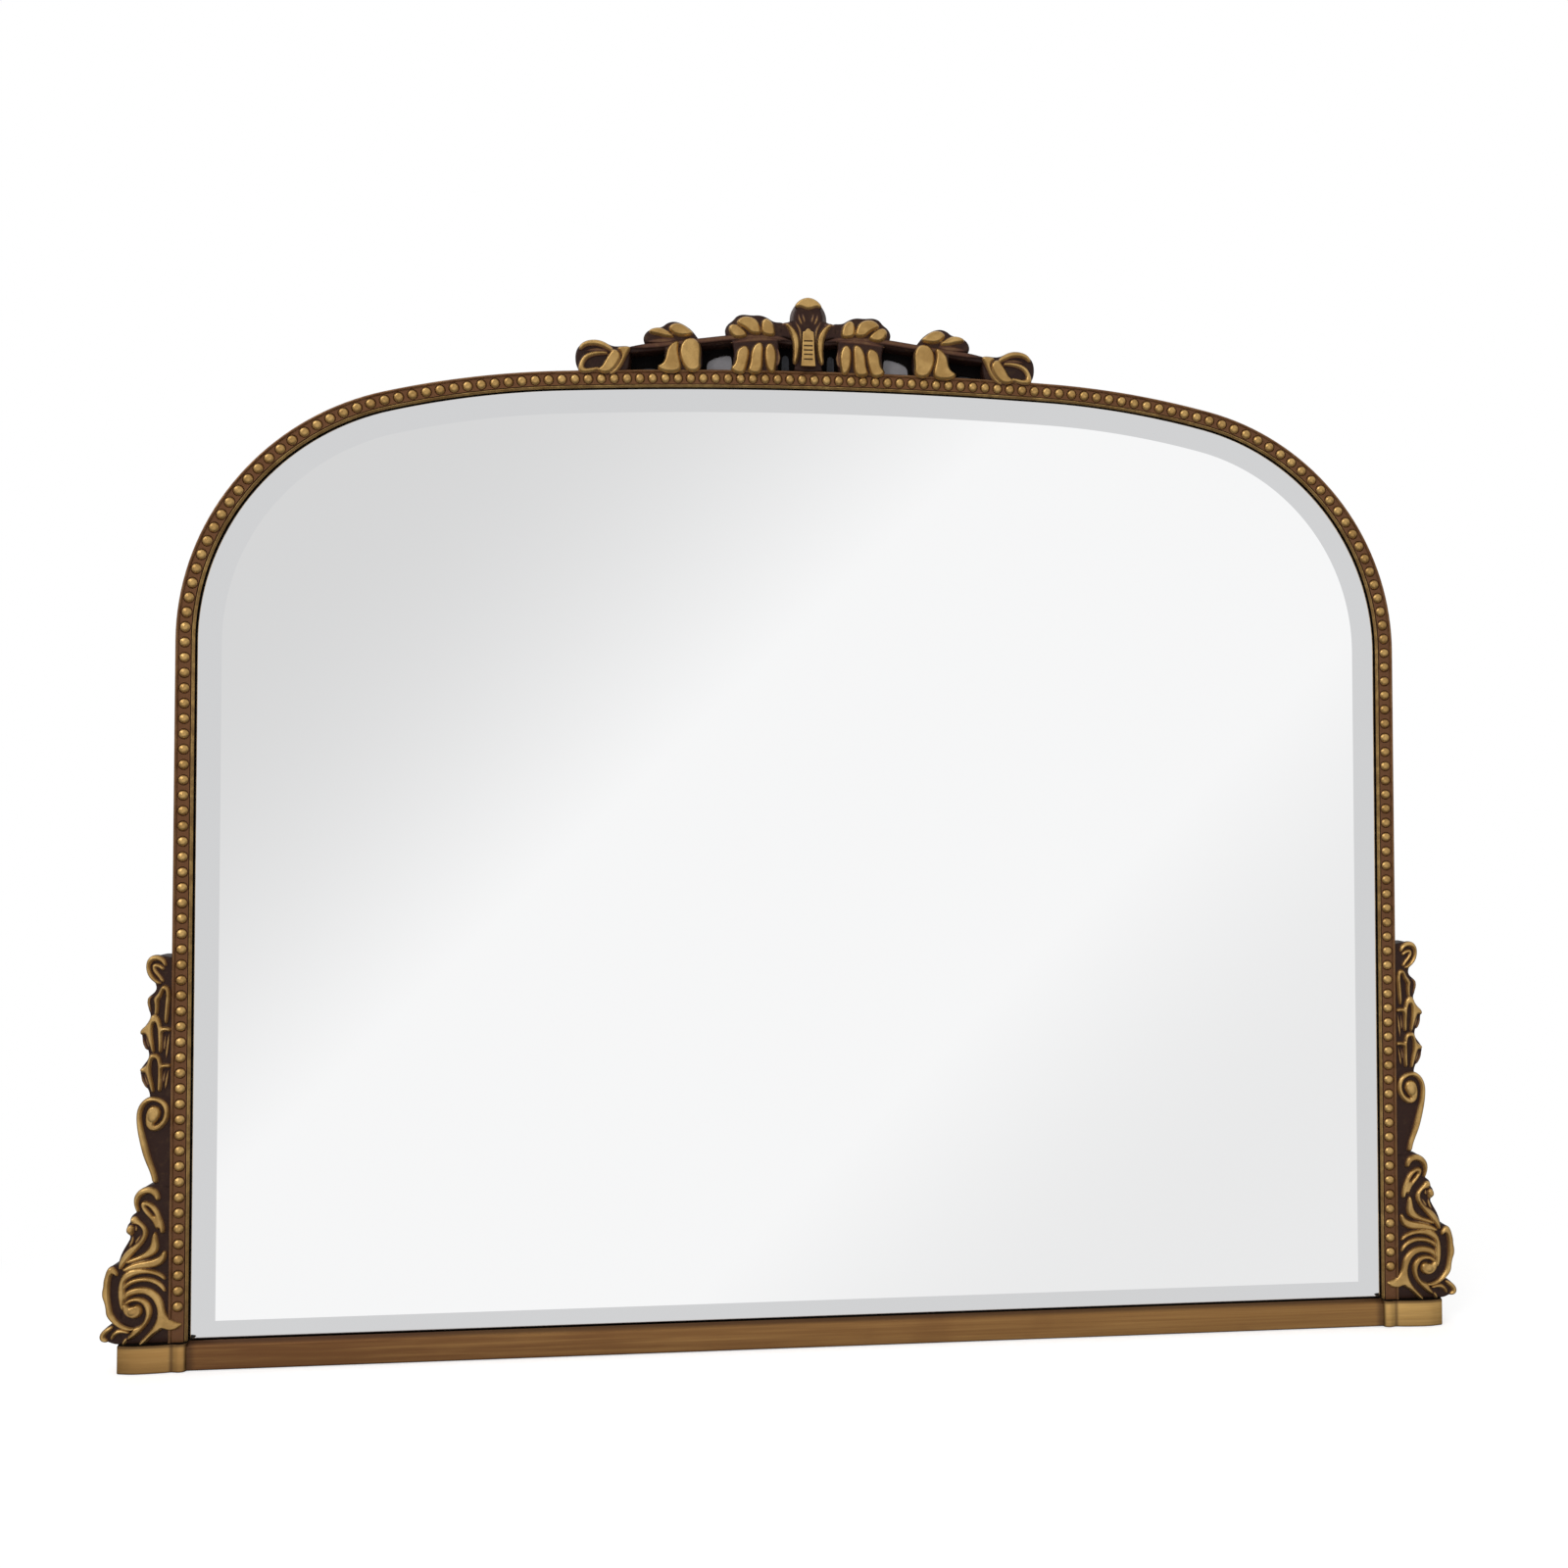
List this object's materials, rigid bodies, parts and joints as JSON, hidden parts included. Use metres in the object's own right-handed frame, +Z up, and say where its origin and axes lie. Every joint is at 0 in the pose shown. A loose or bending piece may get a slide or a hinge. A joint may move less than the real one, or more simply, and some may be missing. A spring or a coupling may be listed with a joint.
{
  "type": "wall mirror",
  "caption": "Arched overmantel wall mirror with bevelled glass, beaded gilt frame, leaf crest, side scroll carvings and a plain bottom rail.",
  "frame": {"origin": "middle of the bottom rail's underside", "axes": "+X to the right seen from the front, +Y towards the wall, +Z up; the glass faces -Y"},
  "size_m": [1.222, 0.0455, 0.9561],
  "materials": {
    "frame_gilt": "bronze gold rubbed over dark brown on carved softwood",
    "bead_gilt": "antique bronze gold, satin",
    "rail_gilt": "brushed antique gold with brown streaks",
    "ornament_gilt": "bronze gold on the ridges, dark brown in the hollows",
    "silvered_glass": "polished, bevelled",
    "coating": "dull grey backing paint over silver and copper",
    "foam": "rigid packing foam",
    "plywood": "bare birch plywood",
    "zinc_steel": "zinc plated",
    "brass_plate": "brass plated steel, satin",
    "beech": "bare beech",
    "rubber": "soft, matte",
    "felt_pad": "firm setting pad"
  },
  "bodies": {
    "mirror": {"acanthus_left": "ornament_gilt", "acanthus_right": "ornament_gilt", "arch_moulding": "frame_gilt", "back_panel": "plywood", "beads_arch": "bead_gilt", "beads_left": "bead_gilt", "beads_right": "bead_gilt", "bottom_rail": "rail_gilt", "carving_pins_left": "beech", "carving_pins_right": "beech", "claw_left": "ornament_gilt", "claw_right": "ornament_gilt", "crest_finial": "ornament_gilt", "crest_leaf_end_left": "ornament_gilt", "crest_leaf_end_right": "ornament_gilt", "crest_leaf_inner_left": "ornament_gilt", "crest_leaf_inner_right": "ornament_gilt", "crest_leaf_middle_left": "ornament_gilt", "crest_leaf_middle_right": "ornament_gilt", "crest_plates": "zinc_steel", "crest_screws": "zinc_steel", "crest_stem_left": "ornament_gilt", "crest_stem_right": "ornament_gilt", "crest_tongue": "ornament_gilt", "end_block_left": "rail_gilt", "end_block_right": "rail_gilt", "foot_dowels": "beech", "hanger_screws": "brass_plate", "hanger_strap_left": "brass_plate", "hanger_strap_right": "brass_plate", "mirror_coating": "coating", "mirror_glass": "silvered_glass", "outer_leaf_left": "ornament_gilt", "outer_leaf_right": "ornament_gilt", "packing_sheet": "foam", "palmette_left": "ornament_gilt", "palmette_right": "ornament_gilt", "panel_screws": "zinc_steel", "rail_dowels": "beech", "setting_pads": "felt_pad", "spring_dowels": "beech", "stile_left": "frame_gilt", "stile_right": "frame_gilt", "volute_left": "ornament_gilt", "volute_right": "ornament_gilt", "wall_bumpers": "rubber"},
    "ring_left": {"hanger_ring_left": "brass_plate"},
    "ring_right": {"hanger_ring_right": "brass_plate"}
  },
  "joints": [
    {"name": "ring_swing_left", "type": "hinge", "parent": "mirror", "child": "ring_left", "pos_m": [-0.4, 0.02798, 0.7], "axis": [1, 0, 0], "range_deg": [0, 180]},
    {"name": "ring_swing_right", "type": "hinge", "parent": "mirror", "child": "ring_right", "pos_m": [0.4, 0.02798, 0.7], "axis": [1, 0, 0], "range_deg": [0, 180]}
  ]
}
